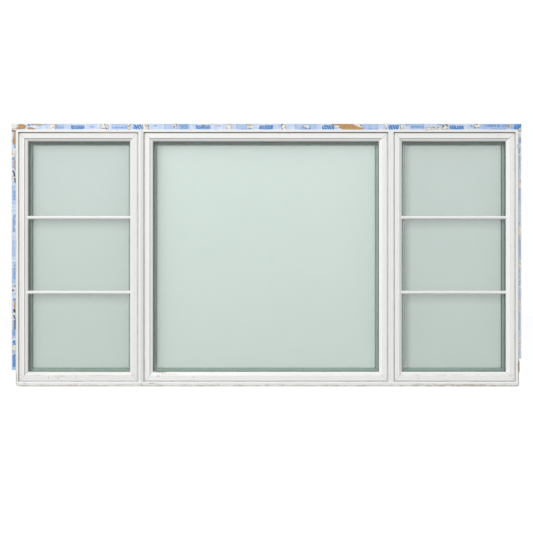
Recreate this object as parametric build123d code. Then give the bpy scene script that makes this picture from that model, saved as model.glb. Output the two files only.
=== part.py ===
from build123d import *
import os

# Window of three units joined side by side, as it looks when it has been taken out of a wall:
# a wide centre light between two narrower side lights, each with its own clad frame and sash.
# Millimetres. X runs to the right seen from outside, Y runs inwards and Z runs up.
# The origin is on the back face of the head nailing fin, halfway along the window.

# Units
LEFT_UNIT_WIDTH = 608.0
CENTRE_UNIT_WIDTH = 1212.0
RIGHT_UNIT_WIDTH = 618.0
UNIT_HEIGHT = 1246.0

# White cladding of the frame, the strip that shows round each sash
JAMB_WIDTH = 13.0
HEAD_WIDTH = 12.0
SILL_WIDTH = 22.0
CLADDING_ROUND = 1.5
FIN_SETBACK = 28.0
MITRE_GAP = 0.2
CHIP_DEPTH = 18.0
LEFT_CHIP = 11.0
RIGHT_CHIP = 5.0

# Wood frame behind the cladding
WALL_DEPTH = 116.0
STOP_OVERLAP = 11.0
STOP_DEPTH = 16.0
LINER_STEP = 8.0
BUTT_GAP = 0.2

# Sash section, from its outer edge to the glass and from its face inwards
SASH_GAP = 6.0
SASH_RECESS = 2.0
SASH_THICKNESS = 57.0
SASH_FACE = 22.0
SASH_ARRIS = 2.0
COVE_WIDTH = 3.0
COVE_DEPTH = 4.5
LEDGE_WIDTH = 6.0
LEDGE_DROP = 3.0
SLOPE_WIDTH = 6.0
SLOPE_DEPTH = 6.5
LIP_EDGE = 1.5
LIP_COVER = 13.5
BOTTOM_RAIL_EXTRA = 4.0

# Sealed glass unit, its seal and the stop that holds it from inside
SEAL_THICKNESS = 1.5
SEAL_SHOWING = 1.0
PANE_THICKNESS = 3.0
AIR_SPACE = 13.0
PANE_COVER = 10.5
SPACER_COVER = 8.0
SPACER_SHOWING = 1.0
STOP_SHOWING = 11.5
STOP_CHAMFER = 3.0
STOP_FIT = 0.3

# Glazing bars of the side lights
BAR_WIDTH = 15.5
BAR_FLAT = 5.0
BAR_DEPTH = 10.0
BAR_FOOT = 3.0
LOWER_BAR_HEIGHT = 428.0
UPPER_BAR_HEIGHT = 792.0

# Nailing fins, let into a kerf of the cladding
FIN_THICKNESS = 1.6
HEAD_FIN_WIDTH = 33.0
LEFT_FIN_WIDTH = 29.0
RIGHT_FIN_WIDTH = 24.0
RIGHT_STUB_WIDTH = 13.0
FIN_LEG = 5.5
LEG_THICKNESS = 1.2
KERF_PLAY = 0.1
KERF_END = 0.5
LEFT_FIN_LOSS = 75.0
NAIL_HOLE_RADIUS = 2.5
NAIL_LINE = 12.0
NAIL_PITCH = 203.2
HEAD_NAIL_PAIRS = 6
SIDE_NAILS = 6
FIRST_SIDE_NAIL = 90.0

# Flashing tape stuck over the fins and turned onto the sides of the frame
TAPE_THICKNESS = 1.0
TAPE_LIP = 12.0
RIGHT_TAPE_LOSS = 131.0

# Places that follow from the sizes above
WINDOW_WIDTH = LEFT_UNIT_WIDTH + CENTRE_UNIT_WIDTH + RIGHT_UNIT_WIDTH
LEFT_EDGE = -WINDOW_WIDTH / 2
RIGHT_EDGE = WINDOW_WIDTH / 2
FRAME_TOP = -HEAD_FIN_WIDTH / 2
FRAME_BOTTOM = FRAME_TOP - UNIT_HEIGHT
FRAME_FACE = -FIN_THICKNESS - FIN_SETBACK
LEG_BACK = -FIN_THICKNESS + LEG_THICKNESS
CLADDING_DEPTH = SASH_RECESS + SASH_THICKNESS
CLADDING_BACK = FRAME_FACE + CLADDING_DEPTH
SASH_PLACE = FRAME_FACE + SASH_RECESS
LEDGE_END = SASH_FACE + COVE_WIDTH + LEDGE_WIDTH
SIGHT_LINE = LEDGE_END + SLOPE_WIDTH
REBATE = SIGHT_LINE - LIP_COVER
LEDGE_DEPTH = COVE_DEPTH + LEDGE_DROP
LIP_BACK = LEDGE_DEPTH + SLOPE_DEPTH + LIP_EDGE
GLASS_FRONT = LIP_BACK + SEAL_THICKNESS
GLASS_BACK = GLASS_FRONT + 2 * PANE_THICKNESS + AIR_SPACE
STOP_EDGE = SIGHT_LINE + STOP_SHOWING
BOTTOM_STRETCH = (SIGHT_LINE + BOTTOM_RAIL_EXTRA) / SIGHT_LINE


def outline(*points):
    """Flat face inside a closed row of straight edges."""
    return make_face(Polyline(*points, close=True))


def side_planes(box, y):
    """Section plane and length of the four members round an upright rectangle.

    On each plane X runs from the rectangle's edge to its middle and Y runs inwards.
    """
    x0, z0, x1, z1 = box
    return {
        "left": (Plane((x0, y, z0), x_dir=(1, 0, 0), z_dir=(0, 0, 1)), z1 - z0),
        "right": (Plane((x1, y, z1), x_dir=(-1, 0, 0), z_dir=(0, 0, -1)), z1 - z0),
        "bottom": (Plane((x1, y, z0), x_dir=(0, 0, 1), z_dir=(-1, 0, 0)), x1 - x0),
        "top": (Plane((x0, y, z1), x_dir=(0, 0, -1), z_dir=(1, 0, 0)), x1 - x0),
    }


def mitred_member(section, length, reach, start_slope, end_slope, gap=0.0):
    """Run of a section whose ends are cut back by a slope, less a hairline gap."""
    run = extrude(section, amount=length)
    plan = outline(
        (0, gap),
        (reach, gap + reach * start_slope),
        (reach, length - gap - reach * end_slope),
        (0, length - gap),
    )
    return run & extrude(Plane.XZ * plan, amount=WALL_DEPTH, both=True)


def mitred_ring(box, y, sections, reaches, gap=0.0):
    """Four members whose mitres run from each outer corner to the inner one."""
    neighbours = {
        "left": ("bottom", "top"),
        "right": ("top", "bottom"),
        "bottom": ("right", "left"),
        "top": ("left", "right"),
    }
    ring = {}
    for side, (plane, length) in side_planes(box, y).items():
        first, last = (reaches[name] / reaches[side] for name in neighbours[side])
        member = mitred_member(sections[side], length, reaches[side], first, last, gap)
        ring[side] = plane.location * member
    return ring


def same(value):
    """The same value for each side of a ring."""
    return {side: value for side in ("left", "right", "bottom", "top")}


def inset(box, amount):
    """Rectangle moved into a sash by one amount, and more at its wider bottom rail."""
    x0, z0, x1, z1 = box
    return (x0 + amount, z0 + amount + BOTTOM_RAIL_EXTRA, x1 - amount, z1 - amount)


def flat_ring(box, outer, inner, y0, y1):
    """Closed flat ring between two insets of a rectangle."""
    ring = slab(inset(box, outer), y0, y1)
    return ring - slab(inset(box, inner), y0, y1)


def slab(box, y0, y1):
    """Upright plate that fills a rectangle from one depth to another."""
    x0, z0, x1, z1 = box
    plate = Box(x1 - x0, y1 - y0, z1 - z0, align=(Align.MIN, Align.MIN, Align.MIN))
    return Pos(x0, y0, z0) * plate


# Cladding

def cladding_section(width):
    """Clad strip with its two front edges rounded."""
    strip = outline((0, 0), (width, 0), (width, CLADDING_DEPTH), (0, CLADDING_DEPTH))
    front = strip.vertices().group_by(Axis.Y)[0]
    return fillet(front, min(CLADDING_ROUND, width / 3))


def fin_kerfs():
    """Slots in the outer sides of the cladding that take the legs of the fins."""
    depth = FIN_LEG + KERF_END
    front, back = -FIN_THICKNESS - KERF_PLAY, LEG_BACK + KERF_PLAY
    head = slab((LEFT_EDGE, FRAME_TOP - depth, RIGHT_EDGE, FRAME_TOP), front, back)
    left_low = FRAME_BOTTOM + LEFT_FIN_LOSS - KERF_END
    left = slab((LEFT_EDGE, left_low, LEFT_EDGE + depth, FRAME_TOP), front, back)
    right = slab((RIGHT_EDGE - depth, FRAME_BOTTOM, RIGHT_EDGE, FRAME_TOP), front, back)
    return [head, left, right]


def corner_chip(x, inward, size):
    """Piece broken out of a lower front corner of the cladding."""
    edge = [(0, 0), (1, 0), (0.8, 0.22), (0.5, 0.34), (0.28, 0.62), (0.12, 0.74), (0, 1.1)]
    plan = outline(*[(x + inward * size * across, FRAME_BOTTOM + size * up) for across, up in edge])
    return Pos(0, FRAME_FACE, 0) * extrude(Plane.XZ * plan, amount=CHIP_DEPTH, both=True)


def frame_cladding(box):
    """Mitred head, sill and jambs of one unit."""
    widths = {"left": JAMB_WIDTH, "right": JAMB_WIDTH, "bottom": SILL_WIDTH, "top": HEAD_WIDTH}
    sections = {side: cladding_section(width) for side, width in widths.items()}
    ring = mitred_ring(box, FRAME_FACE, sections, widths, MITRE_GAP)
    chips = [corner_chip(LEFT_EDGE, 1, LEFT_CHIP), corner_chip(RIGHT_EDGE, -1, RIGHT_CHIP)]
    for side in ring:
        for cut in fin_kerfs() + chips:
            ring[side] -= cut
    return ring


# Wood frame

def wood_section(stop_reach):
    """Frame board with the stop that the sash closes against."""
    liner = stop_reach - LINER_STEP
    depth = WALL_DEPTH - CLADDING_BACK
    return outline(
        (0, 0),
        (stop_reach, 0),
        (stop_reach, STOP_DEPTH),
        (liner, STOP_DEPTH),
        (liner, depth),
        (0, depth),
    )


def wood_frame(box):
    """Four boards behind the cladding; the sill is thicker by its extra width."""
    x0, z0, x1, z1 = box
    reaches = {
        "left": JAMB_WIDTH + SASH_GAP + STOP_OVERLAP,
        "right": JAMB_WIDTH + SASH_GAP + STOP_OVERLAP,
        "bottom": JAMB_WIDTH + SASH_GAP + STOP_OVERLAP,
        "top": HEAD_WIDTH + SASH_GAP + STOP_OVERLAP,
    }
    rise = SILL_WIDTH - JAMB_WIDTH
    sections = {side: wood_section(reach) for side, reach in reaches.items()}
    raised = (x0, z0 + rise, x1, z1)
    ring = mitred_ring(raised, CLADDING_BACK, sections, reaches, BUTT_GAP)
    base = slab((x0 + BUTT_GAP, z0, x1 - BUTT_GAP, z0 + rise), CLADDING_BACK, WALL_DEPTH)
    ring["bottom"] += base
    return Compound(children=list(ring.values()))


# Sash

def sash_section():
    """Stepped stile or top rail with the rebate that takes the glass."""
    cove_start = (SASH_FACE, 0)
    cove_end = (SASH_FACE + COVE_WIDTH, COVE_DEPTH)
    cove_middle = (SASH_FACE + COVE_WIDTH * 0.2, COVE_DEPTH * 0.65)
    edges = ThreePointArc(cove_start, cove_middle, cove_end)
    edges += Polyline(
        cove_end,
        (LEDGE_END, LEDGE_DEPTH),
        (SIGHT_LINE, LEDGE_DEPTH + SLOPE_DEPTH),
        (SIGHT_LINE, LIP_BACK),
        (REBATE, LIP_BACK),
        (REBATE, SASH_THICKNESS),
        (0, SASH_THICKNESS),
        (0, 0),
        cove_start,
    )
    section = make_face(edges)
    arris = section.vertices().sort_by_distance((0, 0))[0]
    return fillet(arris, SASH_ARRIS)


def bottom_rail_section():
    """The same steps drawn out, so that they still meet the stiles' along the mitres."""
    return scale(sash_section(), (BOTTOM_STRETCH, 1, 1))


def sash(box):
    """Mitred rails and stiles of one sash."""
    sections = {**same(sash_section()), "bottom": bottom_rail_section()}
    reaches = {**same(SIGHT_LINE), "bottom": SIGHT_LINE + BOTTOM_RAIL_EXTRA}
    return mitred_ring(box, SASH_PLACE, sections, reaches, MITRE_GAP)


def stop_section(rebate, edge):
    """Stop from the back of the rebate to its edge, chamfered towards the room."""
    return outline(
        (rebate + STOP_FIT, GLASS_BACK),
        (edge, GLASS_BACK),
        (edge, SASH_THICKNESS - STOP_CHAMFER),
        (edge - STOP_CHAMFER, SASH_THICKNESS),
        (rebate + STOP_FIT, SASH_THICKNESS),
    )


def inner_stops(box):
    """Four stops that hold the glass from inside."""
    low_edge = STOP_EDGE * BOTTOM_STRETCH
    low_section = stop_section(REBATE * BOTTOM_STRETCH, low_edge)
    sections = {**same(stop_section(REBATE, STOP_EDGE)), "bottom": low_section}
    reaches = {**same(STOP_EDGE), "bottom": low_edge}
    ring = mitred_ring(box, SASH_PLACE, sections, reaches, BUTT_GAP)
    return Compound(children=list(ring.values()))


# Glass

def panes(box):
    """Outer and inner pane of one sealed unit."""
    sheet = inset(box, SIGHT_LINE - PANE_COVER)
    outer = SASH_PLACE + GLASS_FRONT
    inner = outer + PANE_THICKNESS + AIR_SPACE
    sheets = [slab(sheet, y, y + PANE_THICKNESS) for y in (outer, inner)]
    return Compound(children=sheets)


def spacer(box):
    """Metal spacer between the panes."""
    front = SASH_PLACE + GLASS_FRONT + PANE_THICKNESS
    outer, inner = SIGHT_LINE - SPACER_COVER, SIGHT_LINE + SPACER_SHOWING
    return flat_ring(box, outer, inner, front, front + AIR_SPACE)


def glazing_seal(box):
    """Rubber seal between the lip of the sash and the outer pane."""
    front = SASH_PLACE + LIP_BACK
    outer, inner = SIGHT_LINE - SPACER_COVER, SIGHT_LINE + SEAL_SHOWING
    return flat_ring(box, outer, inner, front, front + SEAL_THICKNESS)


# Glazing bars

def bar(x0, x1, z, foot_y, outward):
    """Bevelled bar on a pane, with its foot on the glass and its flat away from it."""
    half, flat = BAR_WIDTH / 2, BAR_FLAT / 2
    section = outline(
        (-half, 0),
        (half, 0),
        (half, BAR_FOOT),
        (flat, BAR_DEPTH),
        (-flat, BAR_DEPTH),
        (-half, BAR_FOOT),
    )
    x = x0 if outward < 0 else x1
    along = -outward
    place = Plane((x, foot_y, z), x_dir=(0, 0, 1), z_dir=(along, 0, 0))
    return place.location * extrude(section, amount=x1 - x0)


def glazing_bars(box, sash_parts, seal):
    """Outer bars coped over the sash lip and inner bars between the stops."""
    x0, z0, x1, _ = box
    bars = []
    for height in (LOWER_BAR_HEIGHT, UPPER_BAR_HEIGHT):
        outer = bar(x0 + LEDGE_END, x1 - LEDGE_END, z0 + height, SASH_PLACE + GLASS_FRONT, -1)
        for stopper in (sash_parts["left"], sash_parts["right"], seal):
            outer -= stopper
        inner = bar(x0 + STOP_EDGE, x1 - STOP_EDGE, z0 + height, SASH_PLACE + GLASS_BACK, 1)
        bars += [outer, inner]
    return Compound(children=bars)


# Fins and tape

def nail_holes(radius):
    """Drills through every nail hole of the three fins."""
    head_z = FRAME_TOP + NAIL_LINE
    places = []
    for pair in range(HEAD_NAIL_PAIRS):
        x = (pair + 0.5) * NAIL_PITCH
        places += [(-x, head_z), (x, head_z)]
    for row in range(SIDE_NAILS):
        z = FRAME_TOP - FIRST_SIDE_NAIL - row * NAIL_PITCH
        places += [(LEFT_EDGE - NAIL_LINE, z), (RIGHT_EDGE + NAIL_LINE, z)]
    drill = Rot(90, 0, 0) * Cylinder(radius, 20 * FIN_THICKNESS)
    return [Pos(x, 0, z) * drill for x, z in places]


def drilled(sheet, radius):
    """Sheet with the nail holes that cross it."""
    for hole in nail_holes(radius):
        sheet -= hole
    return sheet


def fin(band, leg):
    """Nailing flange with its thinner leg in the kerf."""
    flange = slab(band, -FIN_THICKNESS, 0)
    return drilled(flange + slab(leg, -FIN_THICKNESS, LEG_BACK), NAIL_HOLE_RADIUS)


def head_fin():
    """Fin over all three heads, as long as both side fins reach."""
    band = (LEFT_EDGE - LEFT_FIN_WIDTH, FRAME_TOP, RIGHT_EDGE + RIGHT_FIN_WIDTH, -FRAME_TOP)
    leg_end = FIN_LEG + KERF_END
    leg = (LEFT_EDGE + leg_end, FRAME_TOP - FIN_LEG, RIGHT_EDGE - leg_end, FRAME_TOP)
    return fin(band, leg)


def left_fin():
    """Fin of the left jamb, broken off short of the sill."""
    low = FRAME_BOTTOM + LEFT_FIN_LOSS
    band = (LEFT_EDGE - LEFT_FIN_WIDTH, low, LEFT_EDGE, FRAME_TOP)
    return fin(band, (LEFT_EDGE, low, LEFT_EDGE + FIN_LEG, FRAME_TOP))


def right_fin():
    """Fin of the right jamb, torn down to a narrow stub below the tape."""
    torn = FRAME_BOTTOM + RIGHT_TAPE_LOSS
    band = (RIGHT_EDGE, torn, RIGHT_EDGE + RIGHT_FIN_WIDTH, FRAME_TOP)
    stub = (RIGHT_EDGE, FRAME_BOTTOM, RIGHT_EDGE + RIGHT_STUB_WIDTH, torn)
    leg = (RIGHT_EDGE - FIN_LEG, FRAME_BOTTOM, RIGHT_EDGE, FRAME_TOP)
    return fin(band, leg) + slab(stub, -FIN_THICKNESS, 0)


def tape(band, lip):
    """Tape on the face of a fin with a lip along the side of the frame."""
    back = -FIN_THICKNESS
    front = back - TAPE_THICKNESS
    strip = slab(band, front, back) + slab(lip, front - TAPE_LIP, front)
    return drilled(strip, NAIL_HOLE_RADIUS)


def head_tape():
    band = (LEFT_EDGE - LEFT_FIN_WIDTH, FRAME_TOP, RIGHT_EDGE + RIGHT_FIN_WIDTH, -FRAME_TOP)
    return tape(band, (LEFT_EDGE, FRAME_TOP, RIGHT_EDGE, FRAME_TOP + TAPE_THICKNESS))


def left_tape():
    low = FRAME_BOTTOM + LEFT_FIN_LOSS
    band = (LEFT_EDGE - LEFT_FIN_WIDTH, low, LEFT_EDGE, FRAME_TOP)
    return tape(band, (LEFT_EDGE - TAPE_THICKNESS, low, LEFT_EDGE, FRAME_TOP))


def right_tape():
    low = FRAME_BOTTOM + RIGHT_TAPE_LOSS
    band = (RIGHT_EDGE, low, RIGHT_EDGE + RIGHT_FIN_WIDTH, FRAME_TOP)
    return tape(band, (RIGHT_EDGE, low, RIGHT_EDGE + TAPE_THICKNESS, FRAME_TOP))


# Whole window

def unit_boxes():
    """Frame rectangle of each unit, from left to right."""
    boxes = {}
    x = LEFT_EDGE
    widths = {"left": LEFT_UNIT_WIDTH, "centre": CENTRE_UNIT_WIDTH, "right": RIGHT_UNIT_WIDTH}
    for name, width in widths.items():
        boxes[name] = (x, FRAME_BOTTOM, x + width, FRAME_TOP)
        x += width
    return boxes


def sash_box(frame_box):
    """Sash rectangle inside a frame rectangle."""
    x0, z0, x1, z1 = frame_box
    side = JAMB_WIDTH + SASH_GAP
    return (x0 + side, z0 + SILL_WIDTH + SASH_GAP, x1 - side, z1 - HEAD_WIDTH - SASH_GAP)


def build_window():
    """Every node of the window by name."""
    frame_names = {"top": "head", "bottom": "sill", "left": "left_jamb", "right": "right_jamb"}
    sash_names = {
        "top": "top_rail",
        "bottom": "bottom_rail",
        "left": "left_stile",
        "right": "right_stile",
    }
    nodes = {}
    spacers = []
    seals = []
    for unit, box in unit_boxes().items():
        for side, member in frame_cladding(box).items():
            nodes[f"{unit}_{frame_names[side]}"] = member
        nodes[f"{unit}_wood_frame"] = wood_frame(box)
        glazed = sash_box(box)
        sash_parts = sash(glazed)
        for side, member in sash_parts.items():
            nodes[f"{unit}_sash_{sash_names[side]}"] = member
        nodes[f"{unit}_inner_stops"] = inner_stops(glazed)
        nodes[f"{unit}_panes"] = panes(glazed)
        spacers.append(spacer(glazed))
        seals.append(glazing_seal(glazed))
        if unit != "centre":
            nodes[f"{unit}_glazing_bars"] = glazing_bars(glazed, sash_parts, seals[-1])
    nodes["glass_spacers"] = Compound(children=spacers)
    nodes["glazing_seals"] = Compound(children=seals)
    nodes["head_fin"] = head_fin()
    nodes["left_fin"] = left_fin()
    nodes["right_fin"] = right_fin()
    nodes["head_tape"] = head_tape()
    nodes["left_tape"] = left_tape()
    nodes["right_tape"] = right_tape()
    return nodes


os.makedirs("parts", exist_ok=True)
for name, shape in build_window().items():
    export_step(shape, f"parts/{name}.step")
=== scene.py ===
import bpy
import bmesh
import math
import random
import numpy as np
from mathutils import Matrix, Vector


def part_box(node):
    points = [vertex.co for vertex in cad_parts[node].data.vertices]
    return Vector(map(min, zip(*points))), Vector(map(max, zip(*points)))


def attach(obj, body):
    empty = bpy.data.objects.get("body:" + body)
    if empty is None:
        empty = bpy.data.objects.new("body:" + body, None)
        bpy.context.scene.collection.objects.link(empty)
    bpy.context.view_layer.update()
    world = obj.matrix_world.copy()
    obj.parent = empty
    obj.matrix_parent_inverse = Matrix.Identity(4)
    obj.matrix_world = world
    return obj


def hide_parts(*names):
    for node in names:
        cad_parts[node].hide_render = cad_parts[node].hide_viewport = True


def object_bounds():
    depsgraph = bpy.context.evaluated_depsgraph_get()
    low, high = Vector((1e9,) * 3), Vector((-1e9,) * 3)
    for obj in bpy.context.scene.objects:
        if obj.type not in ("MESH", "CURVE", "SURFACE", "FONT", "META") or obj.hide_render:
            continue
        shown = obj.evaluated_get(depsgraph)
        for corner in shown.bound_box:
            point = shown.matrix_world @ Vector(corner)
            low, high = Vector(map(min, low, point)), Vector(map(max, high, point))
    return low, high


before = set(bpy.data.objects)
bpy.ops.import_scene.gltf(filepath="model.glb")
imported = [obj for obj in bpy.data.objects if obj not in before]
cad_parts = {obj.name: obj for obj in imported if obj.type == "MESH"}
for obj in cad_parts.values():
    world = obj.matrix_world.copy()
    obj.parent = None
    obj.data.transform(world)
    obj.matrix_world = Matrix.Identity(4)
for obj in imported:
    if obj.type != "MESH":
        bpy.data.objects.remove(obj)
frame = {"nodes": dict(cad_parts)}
cad_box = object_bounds()
nodes = frame["nodes"]

# Three joined windows as taken out of a wall: white sashes, milky double glass and the
# torn blue flashing tape that is still stuck on the nailing fins. Metres, in the CAD frame.
MM = 0.001
UNITS = ("left", "centre", "right")

# Places read from the CAD solids
FRAME_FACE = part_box("centre_head")[0].y
SASH_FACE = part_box("centre_sash_top_rail")[0].y
FRAME_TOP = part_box("centre_head")[1].z
FRAME_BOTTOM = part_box("centre_sill")[0].z
LEFT_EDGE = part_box("left_left_jamb")[0].x
RIGHT_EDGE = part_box("right_right_jamb")[1].x
FIN_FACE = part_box("head_fin")[0].y
OUTER_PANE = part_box("centre_panes")[0].y
ROOM_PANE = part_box("centre_panes")[1].y
SASH_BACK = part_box("centre_sash_top_rail")[1].y
PANE = 3 * MM
AIR_SPACE = 13 * MM
SIGHT_LINE = 37 * MM
LOW_SIGHT_LINE = 41 * MM
STOP_EDGE = 48.5 * MM
LOW_STOP_EDGE = 53.7 * MM
GROOVE = 6 * MM
BAR_WIDTH = 15.5 * MM
NAIL_PITCH = 203.2 * MM
NAIL_LINE = 12 * MM
HEAD_NAIL = 1117.6 * MM
SIDE_NAIL = 90 * MM

# The photograph: its scale on the frame's face, and the place that its middle shows
CAMERA_DISTANCE = 3.3
CAMERA_X = -0.0024
CAMERA_Z = -0.6807
LENS = 45.98
PIXEL = 4.847 * MM
PICTURE_MIDDLE = 266.5


def seen(across, down, depth):
    """Place in the frame that shows at that point of the photograph, at a given depth."""
    pixel = PIXEL * (CAMERA_DISTANCE + depth - FRAME_FACE) / CAMERA_DISTANCE
    x = CAMERA_X + (across - PICTURE_MIDDLE) * pixel
    z = CAMERA_Z + (PICTURE_MIDDLE - down) * pixel
    return x, z


def sash_box(unit):
    """Left, bottom, right and top edge of a unit's sash."""
    x0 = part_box(f"{unit}_sash_left_stile")[0].x
    x1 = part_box(f"{unit}_sash_right_stile")[1].x
    z0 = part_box(f"{unit}_sash_bottom_rail")[0].z
    z1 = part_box(f"{unit}_sash_top_rail")[1].z
    return x0, z0, x1, z1


# Nodes: shader and geometry trees are written as arithmetic on the outputs of their nodes

def operators(operation):
    """A Math node's operation as a Python operator, and the same with its sides swapped."""
    def straight(value, other):
        return value.maths(operation, value, other)

    def swapped(value, other):
        return value.maths(operation, other, value)

    return straight, swapped


class Value:
    """Output of a node. Arithmetic on it adds Math nodes."""

    def __init__(self, nodes, socket):
        self.nodes, self.socket = nodes, socket

    def maths(self, operation, *values):
        return self.nodes.node("ShaderNodeMath", {"operation": operation}, dict(enumerate(values)))

    __add__, __radd__ = operators("ADD")
    __sub__, __rsub__ = operators("SUBTRACT")
    __mul__, __rmul__ = operators("MULTIPLY")
    __truediv__ = operators("DIVIDE")[0]
    __mod__ = operators("FLOORED_MODULO")[0]
    __pow__ = operators("POWER")[0]
    least = operators("MINIMUM")[0]
    most = operators("MAXIMUM")[0]

    def __abs__(self):
        return self.maths("ABSOLUTE", self)

    def __neg__(self):
        return self * -1

    def exp(self):
        return self.maths("EXPONENT", self)


class Nodes:
    """Node tree whose nodes all come from one method."""

    def __init__(self, tree):
        self.tree = tree
        tree.nodes.clear()

    def node(self, kind, settings=None, inputs=None, output=0):
        made = self.tree.nodes.new(kind)
        for name, value in (settings or {}).items():
            setattr(made, name, value)
        for name, value in (inputs or {}).items():
            socket = made.inputs[name]
            if isinstance(value, Value):
                self.tree.links.new(value.socket, socket)
            elif socket.type == "RGBA" and len(value) == 3:
                socket.default_value = (*value, 1)
            else:
                socket.default_value = value
        return Value(self, made.outputs[output]) if made.outputs else None

    def blend(self, factor, first, second):
        """One shader over another."""
        return self.node("ShaderNodeMixShader", {}, {0: factor, 1: first, 2: second})

    def ramp(self, value, low, high):
        """0 below low and 1 above high, smooth between them; high may be the lower one."""
        ends = {"From Min": min(low, high), "From Max": max(low, high)}
        if high < low:
            ends |= {"To Min": 1.0, "To Max": 0.0}
        settings = {"interpolation_type": "SMOOTHSTEP"}
        return self.node("ShaderNodeMapRange", settings, {"Value": value, **ends})

    def vector(self, x=0.0, y=0.0, z=0.0):
        return self.node("ShaderNodeCombineXYZ", {}, {0: x, 1: y, 2: z})

    def parts(self, vector):
        """The three numbers of a vector."""
        split = self.node("ShaderNodeSeparateXYZ", {}, {0: vector}).socket.node
        return [Value(self, split.outputs[i]) for i in range(3)]

    def noise(self, vector, scale=1.0, detail=2.0, roughness=0.5, distortion=0.0):
        inputs = {"Vector": vector, "Scale": scale, "Detail": detail}
        inputs |= {"Roughness": roughness, "Distortion": distortion}
        return self.node("ShaderNodeTexNoise", {}, inputs)


class Finish(Nodes):
    """Surface finish of some of the window's pieces."""

    def __init__(self, name):
        self.material = bpy.data.materials.new(name)
        self.material.use_nodes = True
        super().__init__(self.material.node_tree)
        self.place = self.node("ShaderNodeTexCoord", {}, {}, "Object")
        self.x, self.y, self.z = self.parts(self.place)

    def mix(self, factor, plain, other):
        """One colour over another."""
        settings = {"data_type": "RGBA", "clamp_factor": True}
        return self.node("ShaderNodeMix", settings, {0: factor, 6: plain, 7: other}, 2)

    def stretched(self, x, y, z):
        """Object coordinates times a factor on each axis."""
        return self.node("ShaderNodeVectorMath", {"operation": "MULTIPLY"},
                         {0: self.place, 1: (x, y, z)})

    def blot(self, x, z, across, up, rough=0.5):
        """Soft ragged spot on an upright face, 1 at its middle."""
        off_x, off_z = (self.x - x) / across, (self.z - z) / up
        edge = self.noise(self.place, 90.0, 4.0, 0.65) - 0.5
        reach = (off_x * off_x + off_z * off_z) ** 0.5 + edge * (rough * 3.0)
        return self.ramp(reach, 1.0, 0.35)

    def specks(self, scale, share, size=0.12):
        """Scattered small dots."""
        inputs = {"Vector": self.place, "Scale": scale, "Randomness": 1.0}
        cells = self.node("ShaderNodeTexVoronoi", {}, inputs).socket.node
        near = self.ramp(Value(self, cells.outputs["Distance"]), size, size * 0.5)
        chosen, _, _ = self.parts(Value(self, cells.outputs["Color"]))
        return near * self.ramp(chosen, share + 0.01, share)

    def recess(self, depth):
        """Mask for painted shade: 1 on steep walls that lie deeper than a face at that depth, less on
        walls facing up or left.
        """
        sideways, facing, upwards = self.normal()
        steep = self.ramp(abs(facing), 0.45, 0.15) * (self.ramp(upwards, 0.8, 0.2) * 0.75 + 0.25)
        steep = steep * (self.ramp(sideways, -0.8, -0.2) * 0.45 + 0.55)
        return steep * self.ramp(self.y, depth + 0.6 * MM, depth + 3 * MM)

    def bump(self, height, strength, distance):
        inputs = {"Height": height, "Strength": strength, "Distance": distance}
        return self.node("ShaderNodeBump", {}, inputs)

    def normal(self):
        """The three numbers of the direction that the surface faces."""
        return self.parts(self.node("ShaderNodeNewGeometry", {}, {}, "Normal"))

    def surface(self, shader):
        self.node("ShaderNodeOutputMaterial", {}, {"Surface": shader})
        return self.material

    def plain(self, **inputs):
        """Principled shader with those inputs."""
        named = {name.replace("_", " "): value for name, value in inputs.items()}
        return self.node("ShaderNodeBsdfPrincipled", {}, named)

    def painted(self, colour, rough, *relief):
        """Whole surface; relief is the height, strength and distance of its bump."""
        normal = self.bump(*relief)
        return self.surface(self.plain(Base_Color=colour, Roughness=rough, Normal=normal))


class Shape(Nodes):
    """Geometry Nodes tree with named inputs, which ends in plain geometry and a material."""

    KINDS = {float: "NodeSocketFloat", int: "NodeSocketInt"}

    def __init__(self, name, **sizes):
        tree = bpy.data.node_groups.new(name, "GeometryNodeTree")
        super().__init__(tree)
        tree.interface.new_socket("Geometry", in_out="OUTPUT", socket_type="NodeSocketGeometry")
        self.sockets = {}
        for label, value in {**sizes, "material": None}.items():
            kind = self.KINDS.get(type(value), "NodeSocketMaterial")
            socket = tree.interface.new_socket(label, in_out="INPUT", socket_type=kind)
            if value is not None:
                socket.default_value = value
            self.sockets[label] = socket.identifier
        self.given = tree.nodes.new("NodeGroupInput")

    def size(self, label):
        return Value(self, self.given.outputs[label])

    def end(self, geometry):
        """Closes the tree."""
        real = self.node("GeometryNodeRealizeInstances", {}, {0: geometry})
        inputs = {"Geometry": real, "Material": self.size("material")}
        done = self.node("GeometryNodeSetMaterial", {}, inputs)
        out = self.tree.nodes.new("NodeGroupOutput")
        self.tree.links.new(done.socket, out.inputs[0])

    def mesh(self, name, material, thickness=0.0, **sizes):
        """Plain mesh that the tree makes from those sizes."""
        base = bpy.data.objects.new(name, bpy.data.meshes.new(name))
        bpy.context.scene.collection.objects.link(base)
        worker = base.modifiers.new("shape", "NODES")
        worker.node_group = self.tree
        for label, value in {**sizes, "material": material}.items():
            worker[self.sockets[label]] = value
        if thickness:
            wall = base.modifiers.new("wall", "SOLIDIFY")
            wall.thickness, wall.offset = thickness, 1.0
        ready = base.evaluated_get(bpy.context.evaluated_depsgraph_get())
        made = bpy.data.meshes.new_from_object(ready)
        made.name = name
        bpy.data.objects.remove(base)
        return made


# Pieces

def show(mesh, name, slot, *nodes_replaced):
    """Makes a mesh a piece of the window."""
    piece = bpy.data.objects.new(name, mesh)
    bpy.context.scene.collection.objects.link(piece)
    for polygon in mesh.polygons:
        polygon.use_smooth = False
    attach(piece, "root")
    if nodes_replaced:
        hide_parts(*nodes_replaced)
    return piece


def dress(material, *names):
    """Gives CAD nodes their finish."""
    for name in names:
        mesh = nodes[name].data
        mesh.materials.clear()
        mesh.materials.append(material)


# White painted and clad surfaces

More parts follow.
